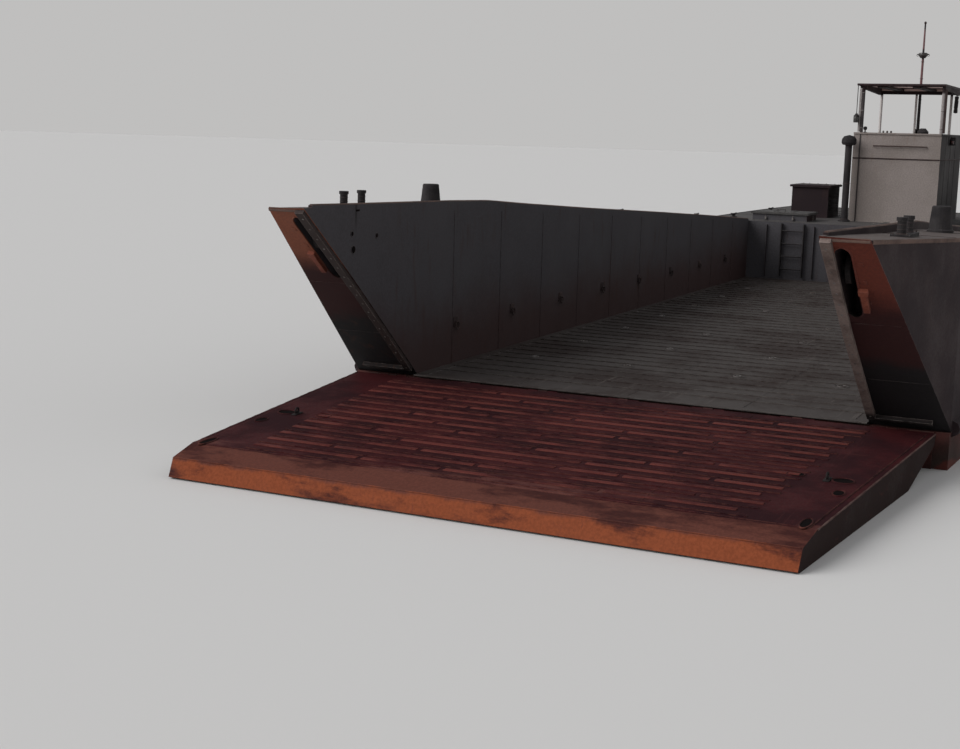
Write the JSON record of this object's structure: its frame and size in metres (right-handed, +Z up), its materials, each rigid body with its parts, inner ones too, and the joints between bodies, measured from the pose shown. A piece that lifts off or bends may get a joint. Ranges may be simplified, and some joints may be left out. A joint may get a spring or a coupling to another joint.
{
  "type": "landing craft",
  "caption": "Flat-bottomed steel landing craft with a hinged bow ramp, an open cargo well, twin screws and rudders, and an open pilothouse with a canvas roof aft.",
  "frame": {"origin": "on the keel line at midships, in the plane of the flat bottom", "axes": "+X to the bow, +Y to port, +Z up"},
  "size_m": [23.3919, 6.5406, 6.18],
  "materials": {
    "hull_paint": "worn matt grey paint with rust streaks",
    "well_paint": "worn matt grey-green deck paint",
    "bottom_paint": "matt red-brown bottom paint with a dirty waterline",
    "ramp_paint": "red oxide primer, scuffed and wet",
    "primer": "orange-red primer with grey patches",
    "house_paint": "pale warm grey paint, lightly stained",
    "rubber": "weathered matt rubber",
    "steel": "dull worn steel with rust",
    "bronze": "cast bronze, polished by the water",
    "canvas": "dark red-brown canvas over bows",
    "fittings": "dark grey paint worn at the edges",
    "mast_metal": "dull painted tube"
  },
  "bodies": {
    "hull": {"bottom_hull": "bottom_paint", "stern_hull": "hull_paint", "well_deck": "well_paint", "wing_wall_port": "hull_paint", "wing_wall_starboard": "hull_paint", "bow_seal_port": "rubber", "bow_seal_starboard": "rubber", "hoist_sheave_port": "steel", "hoist_sheave_starboard": "steel", "ramp_dog_port": "primer", "ramp_dog_starboard": "primer", "bow_sill": "primer", "ramp_hinge_pin": "steel", "rub_rail_port": "hull_paint", "rub_rail_starboard": "hull_paint", "skeg_port": "bottom_paint", "skeg_starboard": "bottom_paint", "bow_bitt_port": "fittings", "bow_bitt_starboard": "fittings", "stern_bitt_port": "fittings", "stern_bitt_starboard": "fittings", "well_ladder_port": "fittings", "well_ladder_starboard": "fittings", "pilothouse_front": "house_paint", "pilothouse_side_port": "house_paint", "pilothouse_side_starboard": "house_paint", "pilothouse_back": "house_paint", "pilothouse_floor": "house_paint", "roof_frame": "house_paint", "roof_canopy": "canvas", "helm_console": "fittings", "mast_bracket": "fittings", "side_light_port": "fittings", "side_light_starboard": "fittings", "engine_vent_port": "hull_paint", "engine_vent_starboard": "hull_paint", "mushroom_vent": "fittings", "wing_vent_port": "fittings", "wing_vent_starboard": "fittings", "corner_lantern": "fittings", "stern_fender": "rubber", "exhaust_port": "steel", "exhaust_starboard": "steel"},
    "ramp": {"ramp_panel": "ramp_paint", "ramp_treads": "ramp_paint"},
    "port_screw": {"propeller_port": "bronze"},
    "starboard_screw": {"propeller_starboard": "bronze"},
    "port_rudder": {"rudder_port": "bottom_paint"},
    "starboard_rudder": {"rudder_starboard": "bottom_paint"},
    "wheel": {"helm_wheel": "fittings"},
    "folding_mast": {"mast": "mast_metal"},
    "port_engine_lid": {"engine_hatch_port": "hull_paint"},
    "starboard_engine_lid": {"engine_hatch_starboard": "hull_paint"},
    "lazarette_lid": {"lazarette_hatch": "hull_paint"}
  },
  "joints": [
    {"name": "ramp_hinge", "type": "hinge", "parent": "hull", "child": "ramp", "pos_m": [8.5, 0, 1.3], "axis": [0, -1, 0], "range_deg": [-14, 40.2]},
    {"name": "port_screw_spin", "type": "hinge", "parent": "hull", "child": "port_screw", "pos_m": [-9.15, 1.35, 0.5], "axis": [1, 0, 0], "continuous": true},
    {"name": "starboard_screw_spin", "type": "hinge", "parent": "hull", "child": "starboard_screw", "pos_m": [-9.15, -1.35, 0.5], "axis": [1, 0, 0], "continuous": true},
    {"name": "port_rudder_turn", "type": "hinge", "parent": "hull", "child": "port_rudder", "pos_m": [-9.9, 1.35, 0.5], "axis": [0, 0, 1], "range_deg": [-35, 35]},
    {"name": "starboard_rudder_turn", "type": "hinge", "parent": "hull", "child": "starboard_rudder", "pos_m": [-9.9, -1.35, 0.5], "axis": [0, 0, 1], "range_deg": [-35, 35]},
    {"name": "wheel_turn", "type": "hinge", "parent": "hull", "child": "wheel", "pos_m": [-6.38, 0, 3.68], "axis": [1, 0, 0], "range_deg": [-420, 420]},
    {"name": "mast_fold", "type": "hinge", "parent": "hull", "child": "folding_mast", "pos_m": [-7.9, 0, 4.08], "axis": [0, -1, 0], "range_deg": [0, 90]},
    {"name": "port_engine_lid_hinge", "type": "hinge", "parent": "hull", "child": "port_engine_lid", "pos_m": [-5.605, 1.85, 2.538], "axis": [0, -1, 0], "range_deg": [0, 95]},
    {"name": "starboard_engine_lid_hinge", "type": "hinge", "parent": "hull", "child": "starboard_engine_lid", "pos_m": [-5.605, -1.85, 2.538], "axis": [0, -1, 0], "range_deg": [0, 95]},
    {"name": "lazarette_lid_hinge", "type": "hinge", "parent": "hull", "child": "lazarette_lid", "pos_m": [-9.755, 0, 2.538], "axis": [0, -1, 0], "range_deg": [0, 95]}
  ],
  "couplings": [
    {"joint": "starboard_rudder_turn", "follows": "port_rudder_turn", "ratio": 1},
    {"joint": "wheel_turn", "follows": "port_rudder_turn", "ratio": 12}
  ]
}
